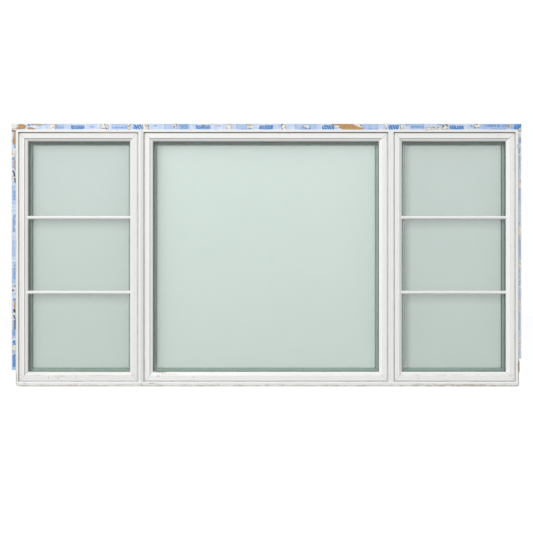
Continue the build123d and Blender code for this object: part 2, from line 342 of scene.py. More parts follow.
WHITE = (0.855, 0.862, 0.852)
# Near white for painted highlights and painted light
PAINTED_HIGHLIGHT = (0.97, 0.972, 0.965)
GREY_DIRT = (0.30, 0.275, 0.235)
# Dark dirt in the mitre joints, also the colour of the painted shade line in the first step
JOINT_DIRT_AND_SHADE = (0.27, 0.23, 0.18)
BROWN_STAIN = (0.33, 0.235, 0.14)
TAN = (0.55, 0.32, 0.12)
PINE = (0.68, 0.50, 0.30)
DARK_GRAIN = (0.48, 0.31, 0.16)
WOOD_GRIME = (0.22, 0.17, 0.12)
# Colour of the painted shade in recesses
RECESS_SHADE = (0.33, 0.30, 0.255)
LEDGE_GREY = (0.50, 0.485, 0.45)

# Tone of each sash, dust and brown line on its ledges, and where the painted shade line in its first
# step lies
SASH_TONE = {"left": 0.93, "centre": 0.99, "right": 0.99}
LEDGE_DUST = {"left": 0.42, "centre": 0.10, "right": 0.12}
LEDGE_LINE = {"left": 0.45, "centre": 0.15, "right": 0.4}
STEP_SHADE_LINE = {"left": 24 * MM, "centre": 24 * MM, "right": 26.5 * MM}
FRAME_TONE = 0.99
DULL_TONE = 0.81

# Stains: middle across and down in the photograph, half their width and height in millimetres,
# and strength
RAIL_STAINS = (
    (61, 376.3, 34, 4, 0.35), (36, 375.2, 40, 4, 0.3), (96, 375.5, 46, 3, 0.25),
    (76, 377.4, 4, 3, 0.6), (167, 374.6, 75, 5, 0.4), (161, 372.8, 42, 4, 0.6),
    (158, 376.4, 12, 6, 0.35), (194, 377.2, 9, 5, 0.3), (417, 375.3, 22, 4, 0.3),
    (440, 375.2, 40, 3, 0.3), (418.6, 378.4, 6, 5, 0.35), (445.4, 379.2, 3, 3, 0.8),
    (463, 377.4, 4, 3, 0.4), (452.7, 140.9, 4, 3, 0.7), (498.5, 135.5, 4, 3, 0.5),
    (136.4, 133, 4, 4, 0.5),
)
# Middle of a scratch, half its length, and how far it leans
SCRATCHES = (
    (48.4, 377.4, 9, -0.15), (55.5, 376.6, 8, -1.6), (58.6, 378.6, 6, -0.5),
)
MULLION_FOOT = (
    (142.3, 385.3, 5, 5, 0.85), (137.5, 381.5, 5, 4, 0.8),
)
SILL_STAINS = (
    (472, 384.9, 135, 5, 0.4), (152, 383.2, 36, 5, 0.65), (25, 383.5, 12, 5, 0.6),
    *MULLION_FOOT,
    (144.6, 381.4, 5, 4, 0.8), (300, 385.6, 60, 4, 0.3), (70, 385.5, 50, 4, 0.35),
    (420, 384.3, 45, 4, 0.4), (441, 385.6, 26, 4, 0.6), (473, 385.6, 55, 4, 0.5),
    (267, 385, 16, 4, 0.5), (218.5, 384.6, 4, 3, 0.8),
)
HEAD_STAINS = (
    (117.5, 130, 9, 3, 0.5), (110, 130.2, 16, 2, 0.4), (217, 129.9, 12, 3, 0.5),
    (250.5, 129.4, 5, 3, 0.6), (426.5, 130.2, 14, 3, 0.55), (190, 129.8, 20, 2, 0.3),
)
EDGE_STAINS = (
    (16.6, 378.5, 5, 34, 0.55), (520.2, 378, 6, 38, 0.6), (517.6, 147, 4, 22, 0.4),
    (518.4, 366, 4, 28, 0.5),
    *MULLION_FOOT,
)


def stained(finish, colour, stains, depth):
    """Colour with brown runs at places of the photograph."""
    flecks = finish.noise(finish.stretched(90, 90, 210), 1, 4, 0.7)
    flecks = finish.ramp(flecks, 0.40, 0.56) * 0.75 + 0.25
    for across, down, wide, high, strength in stains:
        x, z = seen(across, down, depth)
        spot = finish.blot(x, z, wide * MM, high * MM) * flecks
        colour = finish.mix(spot * (strength * 1.3), colour, BROWN_STAIN)
    return colour


def mitre_lines(finish, unit):
    """Thin dirty line on the joints at a sash's four corners."""
    x0, z0, x1, z1 = sash_box(unit)
    middle, centre = (x0 + x1) / 2, (z0 + z1) / 2
    level = (x1 - x0) / 2 - abs(finish.x - middle)
    rise = (z1 - z0) / 2 - abs(finish.z - centre)
    low = finish.ramp(finish.z, centre - 0.1, centre - 0.2) * (LOW_SIGHT_LINE / SIGHT_LINE - 1) + 1
    return finish.ramp(abs(level * low - rise), 1.3 * MM, 0.6 * MM)


def low_grime_and_highlight(finish, colour):
    """Painted highlight along the top edge, grey lower half, brown runs along it and worn patches on
    the lowest edge.
    """
    height = finish.z - FRAME_BOTTOM
    half = finish.ramp(height, 17 * MM, 11 * MM)
    runs = finish.noise(finish.stretched(15, 20, 240), 1, 4, 0.7, 0.5)
    lowest = finish.ramp(height + (finish.noise(finish.place, 30, 4, 0.7) - 0.5) * (14 * MM),
                         8 * MM, 3 * MM)
    patches = finish.ramp(finish.noise(finish.stretched(28, 28, 60), 1, 4, 0.7), 0.44, 0.56)
    ends = finish.ramp(finish.x, seen(400, 380, 0)[0], seen(430, 380, 0)[0])
    ends = ends.most(finish.ramp(finish.x, seen(150, 380, 0)[0], seen(60, 380, 0)[0]) * 0.7)
    worse = ends * 0.4 + 0.4
    # Painted highlight along the sill's top edge, at the same height on the jambs
    top = finish.ramp(abs(height - 19.8 * MM), 3 * MM, 2.2 * MM)
    colour = finish.mix(top * 0.7, colour, PAINTED_HIGHLIGHT)
    colour = finish.mix(half * 0.09, colour, GREY_DIRT)
    colour = finish.mix(finish.ramp(runs, 0.50, 0.57) * half * worse * 0.6, colour, BROWN_STAIN)
    return finish.mix(lowest * (patches * 0.5 + 0.42) * (worse * 0.4 + 0.6), colour, GREY_DIRT)


def ledge_dust(finish, unit, colour):
    """Dust on the steps that face upwards and a brown line along the lowest one."""
    _, _, upwards = finish.normal()
    height = finish.z - sash_box(unit)[1]
    step = finish.ramp(upwards, 0.1, 0.4) * finish.ramp(height, 39 * MM, 36 * MM)
    colour = finish.mix(step * LEDGE_DUST[unit], colour, LEDGE_GREY)
    worn = finish.noise(finish.stretched(14, 14, 30), 1, 4, 0.65)
    line = finish.ramp(abs(height - 27.5 * MM + (worn - 0.5) * (7 * MM)), 2.4 * MM, 1 * MM)
    return finish.mix(line * finish.ramp(worn, 0.42, 0.62) * LEDGE_LINE[unit], colour, TAN)


def strokes(finish, colour):
    """Thin brown scratches on the left bottom rail."""
    for across, down, length, lean in SCRATCHES:
        x, z = seen(across, down, SASH_FACE)
        side = finish.x - x - (finish.z - z) * lean
        along = finish.ramp(abs(finish.z - z), length * MM, length * 0.7 * MM)
        mark = finish.ramp(abs(side), 1.6 * MM, 0.7 * MM) * along
        colour = finish.mix(mark * 0.6, colour, BROWN_STAIN)
    return colour


def frame_edge(finish, colour):
    """Grey and tan wear on the outer edge of the frame, beside the tape."""
    edge = (finish.x - LEFT_EDGE).least(RIGHT_EDGE - finish.x)
    worn = finish.noise(finish.stretched(40, 40, 14), 1, 4, 0.65)
    reach = finish.ramp(edge + (worn - 0.5) * (9 * MM), 5 * MM, 1 * MM)
    reach = reach * (finish.ramp(finish.x, 0.2, -0.2) * 0.7 + 0.3)
    colour = finish.mix(reach * 0.35, colour, GREY_DIRT)
    return finish.mix(reach * finish.ramp(worn, 0.55, 0.68) * 0.5, colour, BROWN_STAIN)


def step_shade_and_highlights(finish, unit, along, colour):
    """Painted shade line in the first step; painted highlights on its edge, a stile's ledge and the
    sash's lowest edge.
    """
    x0, z0, _, z1 = sash_box(unit)
    off, line = z1 - finish.z, STEP_SHADE_LINE["left"]
    if along == "z":
        off, line = finish.x - x0, STEP_SHADE_LINE[unit]
        # Painted light on the stile's ledge
        ledge_highlight = finish.ramp(off, line + 2.5 * MM, line + 4 * MM)
        ledge_highlight = ledge_highlight * finish.ramp(off, SIGHT_LINE, SIGHT_LINE - 2 * MM)
        colour = finish.mix(ledge_highlight * 0.6, colour, PAINTED_HIGHLIGHT)
    else:
        # Painted highlight along the lowest edge of the sash
        low = finish.ramp(finish.z - z0, 4 * MM, 2.5 * MM)
        low = low * finish.ramp(finish.y, SASH_FACE + 6 * MM, SASH_FACE + 4 * MM)
        colour = finish.mix(low * 0.9, colour, PAINTED_HIGHLIGHT)
    # Painted highlight on the face's edge before the step
    edge = finish.ramp(off, line - 6.5 * MM, line - 5 * MM)
    edge = edge * finish.ramp(off, line - 1.5 * MM, line - 2 * MM)
    colour = finish.mix(edge * 0.75, colour, PAINTED_HIGHLIGHT)
    # Painted shade line where the step drops
    return finish.mix(finish.ramp(abs(off - line), 2 * MM, 0.9 * MM) * 0.45, colour, JOINT_DIRT_AND_SHADE)


def white_finish(name, tone, along, depth, stains=(), low_dirt_and_highlight=False, unit=None):
    """White clad or painted member, wiped along its length, with painted shade in its recesses."""
    finish = Finish(name)
    stretch = (3.0, 60.0, 60.0) if along == "x" else (60.0, 60.0, 3.0)
    wipes = finish.noise(finish.stretched(*stretch), 4, 3, 0.6)
    mottle = finish.noise(finish.place, 5, 3, 0.6)
    base = tuple(channel * tone for channel in WHITE)
    colour = finish.mix(finish.ramp(wipes, 0.56, 0.72) * 0.10, base, GREY_DIRT)
    colour = finish.mix(finish.ramp(mottle, 0.5, 0.8) * 0.09, colour, (0.62, 0.60, 0.52))
    colour = finish.mix(finish.specks(60, 0.035, 0.10) * 0.5, colour, GREY_DIRT)
    colour = finish.mix(finish.specks(210, 0.02, 0.16) * 0.4, colour, BROWN_STAIN)
    colour = stained(finish, colour, stains, depth)
    # Painted shade on recess walls, kept off the groove beyond the left sash's right edge
    darkening = finish.recess(depth) * 0.72
    if unit == "left":
        outer = sash_box(unit)[2]
        darkening = darkening * finish.ramp(finish.x, outer - 0.5 * MM, outer - 2 * MM)
    colour = finish.mix(darkening, colour, RECESS_SHADE)
    if unit:
        colour = step_shade_and_highlights(finish, unit, along, ledge_dust(finish, unit, colour))
        worn = finish.noise(finish.place, 60, 3, 0.6)
        joint = mitre_lines(finish, unit) * (finish.ramp(worn, 0.3, 0.6) * 0.4 + 0.6)
        colour = finish.mix(joint * 0.75, colour, JOINT_DIRT_AND_SHADE)
    if low_dirt_and_highlight:
        colour = frame_edge(finish, low_grime_and_highlight(finish, colour))
    if stains is RAIL_STAINS:
        colour = strokes(finish, colour)
    grain = finish.noise(finish.stretched(*stretch), 9, 3, 0.5)
    rough = finish.ramp(mottle, 0.2, 0.9) * 0.18 + 0.34
    return finish.painted(colour, rough, grain + mottle * 0.5, 0.12, 0.4 * MM)


def dress_cladding():
    """Frame strips round the three sashes."""
    level = white_finish("level frame strip", FRAME_TONE, "x", FRAME_FACE, HEAD_STAINS)
    sill = white_finish("sill strip", FRAME_TONE, "x", FRAME_FACE, SILL_STAINS, True)
    upright = white_finish("upright frame strip", FRAME_TONE, "z", FRAME_FACE, EDGE_STAINS, True)
    dull = white_finish("dull frame strip", DULL_TONE, "z", FRAME_FACE, EDGE_STAINS, True)
    for unit in UNITS:
        dress(level, f"{unit}_head")
        dress(sill, f"{unit}_sill")
        dress(upright, f"{unit}_left_jamb", f"{unit}_right_jamb")
    dress(dull, "centre_left_jamb")


def dress_sashes():
    """Rails and stiles of the sashes."""
    for unit, tone in SASH_TONE.items():
        rail = white_finish(f"{unit} sash rail", tone, "x", SASH_FACE, RAIL_STAINS, unit=unit)
        stile = white_finish(f"{unit} sash stile", tone, "z", SASH_FACE, unit=unit)
        dress(rail, f"{unit}_sash_top_rail", f"{unit}_sash_bottom_rail")
        dress(stile, f"{unit}_sash_left_stile", f"{unit}_sash_right_stile")


def bar_finish():
    """Painted glazing bars, level like the rails, with painted light on their lower half."""
    finish = Finish("glazing bar")
    wipes = finish.noise(finish.stretched(4, 80, 80), 4, 3, 0.6)
    colour = finish.mix(finish.ramp(wipes, 0.5, 0.75) * 0.12, (0.79, 0.80, 0.79), GREY_DIRT)
    colour = finish.mix(finish.specks(120, 0.04) * 0.4, colour, GREY_DIRT)
    # Painted light on the lower half of each bar, which faces down away from the lamp
    for height in bar_heights():
        below = finish.ramp(finish.z, height + 2 * MM, height - 3 * MM)
        below = below * finish.ramp(finish.z, height - 12 * MM, height - 10 * MM)
        colour = finish.mix(below, colour, (0.95, 0.955, 0.95))
    return finish.painted(colour, 0.4, wipes, 0.1, 0.3 * MM)


def wood_frame_finish():
    """Boards of the frame: painted towards the room, raw and weathered where the wall hid them."""
    finish = Finish("frame boards")
    grain = finish.noise(finish.stretched(40, 40, 1.5), 6, 5, 0.6, 0.6)
    pine = finish.mix(finish.ramp(grain, 0.3, 0.7), DARK_GRAIN, PINE)
    grime = finish.noise(finish.place, 12, 4, 0.6)
    pine = finish.mix(finish.ramp(grime, 0.45, 0.8) * 0.5, pine, WOOD_GRIME)
    edge = (finish.x - LEFT_EDGE).least(RIGHT_EDGE - finish.x)
    edge = edge.least(FRAME_TOP - finish.z).least(finish.z - FRAME_BOTTOM)
    hidden = finish.ramp(edge, 1.2 * MM, 0.4 * MM)
    paint = finish.mix(finish.ramp(grime, 0.5, 0.8) * 0.12, WHITE, GREY_DIRT)
    paint = finish.mix(finish.specks(70, 0.03) * 0.4, paint, GREY_DIRT)
    colour = finish.mix(hidden, paint, pine)
    return finish.painted(colour, hidden * 0.3 + 0.42, grain, 0.2, 0.4 * MM)


# The stops as they show through the glass, with painted shade on their walls and on the top and left
# faces
STOP_FACE = (0.66, 0.87, 0.78)
STOP_TOP_SHADE = (0.28, 0.385, 0.34)
STOP_LEFT_SHADE = (0.20, 0.28, 0.25)
STOP_WALL_SHADE = (0.17, 0.22, 0.20)


def inner_stop_finish():
    """Stops behind the glass: white towards the room, green-grey against the pane with painted shade
    on walls and top and left faces.
    """
    finish = Finish("inner stops")
    grain = finish.noise(finish.place, 40, 3, 0.6)
    paint = finish.mix(finish.ramp(grain, 0.5, 0.8) * 0.1, WHITE, GREY_DIRT)
    wall = finish.ramp(finish.y, SASH_BACK - 3.2 * MM, SASH_BACK - 4.4 * MM)
    front = finish.ramp(finish.y, ROOM_PANE + 0.6 * MM, ROOM_PANE + 0.2 * MM)
    # Painted shade on the faces of the top stops
    top_shade = finish.ramp(finish.z, FRAME_TOP - 100 * MM, FRAME_TOP - 60 * MM)
    face = finish.mix(top_shade, STOP_FACE, STOP_TOP_SHADE)
    # Painted shade on the faces of the left stops of the left and centre sashes
    for unit in ("left", "centre"):
        off = finish.x - sash_box(unit)[0]
        left = finish.ramp(off, 55 * MM, 52 * MM) * finish.ramp(off, 0, 5 * MM)
        face = finish.mix(left * 0.5, face, STOP_LEFT_SHADE)
    # Painted shade on the walls beside the pane
    colour = finish.mix(wall, paint, STOP_WALL_SHADE)
    colour = finish.mix(front, colour, face)
    return finish.painted(colour, 0.5, grain, 0.15, 0.3 * MM)


# Glass

GLASS_TINT = (0.940, 0.957, 0.950)
HAZE = (0.795, 0.880, 0.845)
# Painted shade: the film's colour at the bottom, and its colour in painted shadow
HAZE_LOW_SHADE = (0.665, 0.765, 0.71)
HAZE_SHADOW = (0.07, 0.10, 0.085)
FILM_SHARE = 0.64
# Painted light and shade of each sash's glass
GLASS_SHADE_TONE = {"left": 0.88, "centre": 1.06, "right": 0.865}
GLASS_SPECKS = ((29.8, 371.2), (53.0, 371.0), (156.0, 371.0), (303.0, 371.0), (461.0, 371.0))

# How strongly the painted shade darkens the film towards the left, right, bottom and top stops, and
# how far
EDGE_SHADE = {
    "left": ((0.95, 14), (0.10, 20), (0.12, 10), (0.80, 16)),
    "centre": ((0.95, 18), (0.25, 10), (0.12, 10), (0.80, 16)),
    "right": ((0.30, 10), (0.20, 12), (0.15, 10), (0.80, 16)),
}
# Painted dark shade line right at the stops, on the same sides
EDGE_SHADE_LINE = {
    "left": (0.9, 0.0, 0.45, 0.7),
    "centre": (0.9, 0.6, 0.45, 0.7),
    "right": (0.3, 0.85, 0.45, 0.7),
}


def bar_heights():
    """Middle height of the two rows of glazing bars."""
    low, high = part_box("left_glazing_bars")
    return low.z + BAR_WIDTH / 2, high.z - BAR_WIDTH / 2


def glass_finish(unit, tone):
    """Green glass with a milky film on the inner pane, with painted shade along the stops, under the
    bars and towards the bottom.
    """
    finish = Finish(f"{unit} glass")
    x0, z0, x1, z1 = sash_box(unit)
    sides = (finish.x - (x0 + STOP_EDGE), (x1 - STOP_EDGE) - finish.x,
             finish.z - (z0 + LOW_STOP_EDGE), (z1 - STOP_EDGE) - finish.z)
    edge = sides[0].least(sides[1]).least(sides[2]).least(sides[3])
    # Painted shade and painted dark line towards each stop
    shade, line = 0.0, 0.0
    for side, (strength, reach), mark in zip(sides, EDGE_SHADE[unit], EDGE_SHADE_LINE[unit]):
        shade = (-side / (reach * MM)).exp() * strength + shade
        line = finish.ramp(side, 8 * MM, 3 * MM) * mark + line
    # Painted shadow under each row of bars
    if unit != "centre":
        for height in bar_heights():
            below = (height - 8 * MM) - finish.z
            under = finish.ramp(below, 66 * MM, 6 * MM) * finish.ramp(below, 0, 3 * MM)
            shade = under * 0.36 + shade
    # Painted shadow along the right sash's left stop, stronger lower down
    if unit == "right":
        lower = finish.ramp(finish.z, z1, z0) * 0.42 + 0.52
        shade = finish.ramp(sides[0], 46 * MM, 0) * lower + shade
    # Broad painted shade towards all the stops
    shade = shade + finish.ramp(edge, 200 * MM, 0) * 0.05
    film_face = OUTER_PANE + PANE + AIR_SPACE
    film = finish.ramp(abs(finish.y - film_face), 0.8 * MM, 0.3 * MM)
    film = film * finish.ramp(edge, -0.5 * MM, 0.5 * MM)
    cloud = finish.noise(finish.place, 2.2, 3, 0.55)
    # The painted dark line also makes the film more opaque
    milky = (cloud - 0.5) * 0.06 + FILM_SHARE + line.least(1.0) * (0.96 - FILM_SHARE)
    outside = finish.ramp(finish.y, OUTER_PANE + 1.2 * MM, OUTER_PANE + 0.6 * MM)
    dust = finish.noise(finish.place, 35, 5, 0.7)
    low = finish.ramp(finish.z, z0 + STOP_EDGE + 60 * MM, z0 + STOP_EDGE)
    outer_dust = finish.ramp(dust, 0.5, 0.8) * 0.04 + low * 0.05 + 0.04
    base = tuple(channel * tone for channel in HAZE)
    # Painted shade: the film darker towards the bottom, less so in the centre sash
    fall = 0.7 if unit == "centre" else 1.0
    low_base = tuple(channel * (0.4 + 0.6 * tone) for channel in HAZE_LOW_SHADE)
    colour = finish.mix(finish.ramp(finish.z, z1, z0) * fall, base, low_base)
    colour = finish.mix(film * (shade + line).least(1), colour, HAZE_SHADOW)
    spots = finish.specks(55, 0.012, 0.08) * outside
    for across, down in GLASS_SPECKS:
        x, z = seen(across, down, OUTER_PANE)
        spots = spots.most(finish.blot(x, z, 4 * MM, 3 * MM, 0.2) * outside)
    colour = finish.mix(spots, colour, (0.10, 0.10, 0.08))
    cover = (film * milky + outside * outer_dust + 0.02).most(spots * 0.9)
    haze = finish.plain(Base_Color=colour, Roughness=0.55)
    clear_glass = finish.node("ShaderNodeBsdfTransparent", {}, {"Color": GLASS_TINT})
    mixed = finish.blend(cover, clear_glass, haze)
    gloss = finish.node("ShaderNodeBsdfGlossy", {}, {"Color": (1, 1, 1), "Roughness": 0.04})
    fresnel = finish.node("ShaderNodeFresnel", {}, {"IOR": 1.45})
    return finish.surface(finish.blend(fresnel * 0.5, mixed, gloss))


def dress_glass():
    """Panes of the three sashes."""
    for unit, tone in GLASS_SHADE_TONE.items():
        dress(glass_finish(unit, tone), f"{unit}_panes")


def spacer_finish():
    """Dull mill-finish metal with fine marks along it."""
    finish = Finish("spacer metal")
    marks = finish.noise(finish.stretched(30, 200, 30), 6, 3, 0.6)
    colour = finish.mix(finish.ramp(marks, 0.4, 0.7), (0.20, 0.23, 0.215), (0.36, 0.41, 0.385))
    rough = marks * 0.2 + 0.42
    return finish.surface(finish.plain(Base_Color=colour, Metallic=0.6, Roughness=rough))


def mottled_finish(name, stretch, noise, edge, share, colours, rough, relief):
    """Two colours mixed by noise that also makes the relief."""
    finish = Finish(name)
    pattern = finish.noise(finish.stretched(*stretch), *noise)
    colour = finish.mix(finish.ramp(pattern, *edge) * share, *colours)
    return finish.painted(colour, rough, pattern, *relief)


def seal_finish():
    """Dark glazing seal, chalky in places."""
    colours = (0.035, 0.04, 0.038), (0.11, 0.115, 0.11)
    return mottled_finish("glazing seal", (1, 1, 1), (60.0, 4.0, 0.7), (0.45, 0.75), 1.0,
                          colours, 0.75, (0.3, 0.3 * MM))


def weather_strip_finish():
    """Soft grey strip at the bottom of the groove round a sash, with grime and a painted shadow under
    the head.
    """
    finish = Finish("weather strip")
    grime = finish.noise(finish.place, 25, 4, 0.7)
    # Painted shadow on the strip along the top of each sash, under the head
    head_shadow = finish.ramp(finish.z, FRAME_TOP - 30 * MM, FRAME_TOP - 16 * MM) * 0.8
    darkening = (finish.ramp(grime, 0.4, 0.75) * 0.4).most(head_shadow)
    colour = finish.mix(darkening, (0.88, 0.87, 0.84), (0.40, 0.35, 0.28))
    return finish.painted(colour, 0.8, grime, 0.3, 0.3 * MM)


def weather_strip_shape():
    """Round bulb that runs along a rectangle."""
    shape = Shape("weather strip", width=1.0, height=1.0, bulb=0.0028)
    inputs = {"Width": shape.size("width"), "Height": shape.size("height")}
    path = shape.node("GeometryNodeCurvePrimitiveQuadrilateral", {}, inputs)
    inputs = {"Resolution": 12, "Radius": shape.size("bulb")}
    bulb = shape.node("GeometryNodeCurvePrimitiveCircle", {}, inputs)
    strip = shape.node("GeometryNodeCurveToMesh", {}, {"Curve": path, "Profile Curve": bulb})
    shape.end(strip)
    return shape


BULB = 2.9 * MM
STRIP_DEPTH = 5.5 * MM
PROUD_STRIP = 4 * MM


def add_weather_strips():
    """One bulb in the groove between each sash and its frame, standing proud beside a mullion."""
    shape, material = weather_strip_shape(), weather_strip_finish()
    for unit in UNITS:
        x0, z0, x1, z1 = sash_box(unit)
        strip = shape.mesh(f"{unit}_weather_strip", material,
                           width=x1 - x0 + GROOVE, height=z1 - z0 + GROOVE, bulb=BULB)
        middle = ((x0 + x1) / 2, SASH_FACE + STRIP_DEPTH, (z0 + z1) / 2)
        strip.transform(Matrix.Translation(middle) @ Matrix.Rotation(math.pi / 2, 4, "X"))
        if unit == "left":
            for vertex in strip.vertices:
                if vertex.co.x > x1:
                    vertex.co.y -= PROUD_STRIP
        outward(strip)
        show(strip, f"{unit}_weather_strip", "dark_seal")


def outward(mesh):
    """Turns the faces of a closed mesh outwards."""
    work = bmesh.new()
    work.from_mesh(mesh)
    bmesh.ops.remove_doubles(work, verts=work.verts, dist=1e-6)
    bmesh.ops.recalc_face_normals(work, faces=work.faces)
    work.to_mesh(mesh)
    work.free()


# Fins and what still sticks to them

def fin_finish():
    """Off-white vinyl fin with old mastic and wood dust on it."""
    finish = Finish("fin vinyl")
    grime = finish.noise(finish.place, 45, 5, 0.7)
    colour = finish.mix(finish.ramp(grime, 0.42, 0.62) * 0.75, (0.66, 0.64, 0.60), TAN)
    colour = finish.mix(finish.ramp(grime, 0.60, 0.70) * 0.7, colour, (0.14, 0.12, 0.10))
    return finish.painted(colour, 0.62, grime, 0.4, 0.8 * MM)


FILM_BLUE = (0.50, 0.61, 0.79)
PANEL_BLUE = (0.29, 0.45, 0.73)
SMALL_BLUE = (0.04, 0.20, 0.50)
MARK_BLUE = (0.0, 0.155, 0.47)
TORN_WHITE = (0.80, 0.79, 0.75)
TORN_EDGE = (0.085, 0.065, 0.055)
TORN_TAN = (0.45, 0.30, 0.17)

# What shows on each tape, from where to where in the photograph along it, and if it doesn't
# take its whole width, from and to which share of that, counted from the frame outwards
PRINT = {
    "head": {
        "torn": ((10, 17.5), (49.8, 55, -1, 0.9), (100.8, 105.8), (106.3, 108.2, 0.1, 0.7),
                 (128, 130.2), (142.5, 147.8), (148.4, 150, 0.1, 0.9), (173.8, 176.8, 0.3, 0.9),
                 (202, 204.4, 0.5, 0.9), (226.5, 231, 0.1, 0.9), (247, 253, 0.35, 0.8),
                 (281.6, 286), (302.5, 309.7, 0.4, 0.8), (335, 341, 0.4, 0.8), (354, 361.7),
                 (385.2, 387.4), (400.2, 402.8, 0.1, 0.9), (426, 441, 0.2, 0.5),
                 (442.6, 448, 0.2, 0.8), (474.6, 480.5, 0.4, 0.9), (508.3, 511.8, 0.4, 0.9)),
        "mark": ((71, 84.5, 0.2, 0.8), (133.6, 145, 0.2, 0.9), (196, 210, 0.2, 0.8),
                 (259, 273, 0.2, 0.8), (322, 334, 0.2, 0.8), (388.5, 399, 0.2, 0.85),
                 (449.5, 463.5, 0.2, 0.75), (514, 521.6, 0.1, 0.95), (28, 30.4, 0.7, 1),
                 (51, 53.5, 0.1, 0.4), (106.8, 108.6, 0, 0.35)),
        "small": ((44, 47.6, 0.8, 1), (89.8, 95.2, 0.45, 0.7), (153.4, 157.2, 0.6, 0.8),
                  (179, 188.6, 0.2, 0.9), (215.7, 220.3, 0.6, 0.8), (238, 252.5, 0, 0.3),
                  (279, 281.5, 0.5, 0.8), (300, 313, 0, 0.3), (364, 377, 0, 0.3),
                  (405.4, 409.8, 0.7, 0.95), (411, 424, 0.4, 0.7), (437, 442, 0.75, 1),
                  (469.8, 473.7, 0.5, 0.8), (485, 508, 0.5, 0.9), (492, 506, 0, 0.3),
                  (55.5, 64, 0.3, 0.6), (112, 127, 0.35, 0.6)),
        "panel": ((55.5, 64), (112, 127.4), (164, 172), (178, 189, -1, 1), (236, 250),
                  (295, 316), (362, 378), (411, 424, 0.1, 1), (482, 507.6), (512, 523)),
    },
    "left": {
        "torn": ((120, 131.5), (148.6, 153.8), (154.5, 157, 0.3, 1), (177, 178.6),
                 (286.5, 289, 0.3, 1), (293, 296, -0.5, 0.4), (313, 315.2), (345.4, 350.8),
                 (353, 355, 0.5, 1)),
        "mark": ((145.2, 148.4, 0.1, 0.6), (284.7, 287.6, 0.2, 0.6), (298.2, 300.8, 0.2, 0.7),
                 (310.5, 314, -0.3, 0.3), (340.6, 344.6, 0.1, 0.8), (355, 366.5, 0.2, 0.8)),
        "small": ((157, 168, 0.4, 0.9), (190, 200, 0.2, 0.7), (214, 232, 0.3, 0.8),
                  (262, 279, 0.2, 0.7), (320, 336, 0.4, 0.8)),
        "panel": ((186, 204), (240, 256), (268, 283), (330, 338), (351, 372)),
    },
    "right": {
        "torn": ((127, 137.4, -1, 0.75), (136, 380, -1, 0.45), (180.4, 188), (226, 236),
                 (262, 268), (300, 307), (341, 346)),
        "mark": ((138.4, 142.8, 0.1, 0.9), (148.7, 153.2, 0.1, 0.8), (167, 168.6, 0.2, 0.7),
                 (175, 179, 0.1, 0.5), (222, 225, 0.2, 0.7), (281, 285, 0.2, 0.8)),
        "small": ((156, 166, 0.3, 0.8), (183, 200, 0.2, 0.7), (236, 256, 0.2, 0.8),
                  (268, 278, 0.2, 0.7), (310, 330, 0.2, 0.7)),
        "panel": ((138, 143), (180, 204), (240, 260), (290, 300)),
    },
}
KINDS = ("torn", "mark", "small"), ("panel", None, None)


def paint_tape(mesh, side, width):
    """Stores on a tape's points how far each is inside the things that show on it."""
    places = np.empty(len(mesh.vertices) * 3)
    mesh.vertices.foreach_get("co", places)
    places = np.clip(places.reshape(-1, 3), cad_box[0], cad_box[1])
    mesh.vertices.foreach_set("co", places.ravel())
    pixel = PIXEL * (CAMERA_DISTANCE + FIN_FACE - FRAME_FACE) / CAMERA_DISTANCE
    if side == "head":
        along = PICTURE_MIDDLE + (places[:, 0] - CAMERA_X) / pixel
        share = (places[:, 2] - FRAME_TOP) / width
    else:
        along = PICTURE_MIDDLE - (places[:, 2] - CAMERA_Z) / pixel
        out = {"left": LEFT_EDGE - places[:, 0], "right": places[:, 0] - RIGHT_EDGE}[side]
        share = out / width
    for number, kinds in enumerate(KINDS):
        amounts = np.zeros((len(places), 3))
        for column, kind in enumerate(kinds):
            for start, end, *shares in PRINT[side].get(kind, ()):
                low, high = shares or (-9, 9)
                inside = np.minimum(along - start, end - along) / 2.0
                inside = np.minimum(inside, np.minimum(share - low, high - share) / 0.5)
                amounts[:, column] = np.maximum(amounts[:, column], np.clip(inside + 0.5, 0, 1))
        layer = mesh.attributes.new(f"print_{number}", "FLOAT_VECTOR", "POINT")
        layer.data.foreach_set("vector", amounts.ravel())


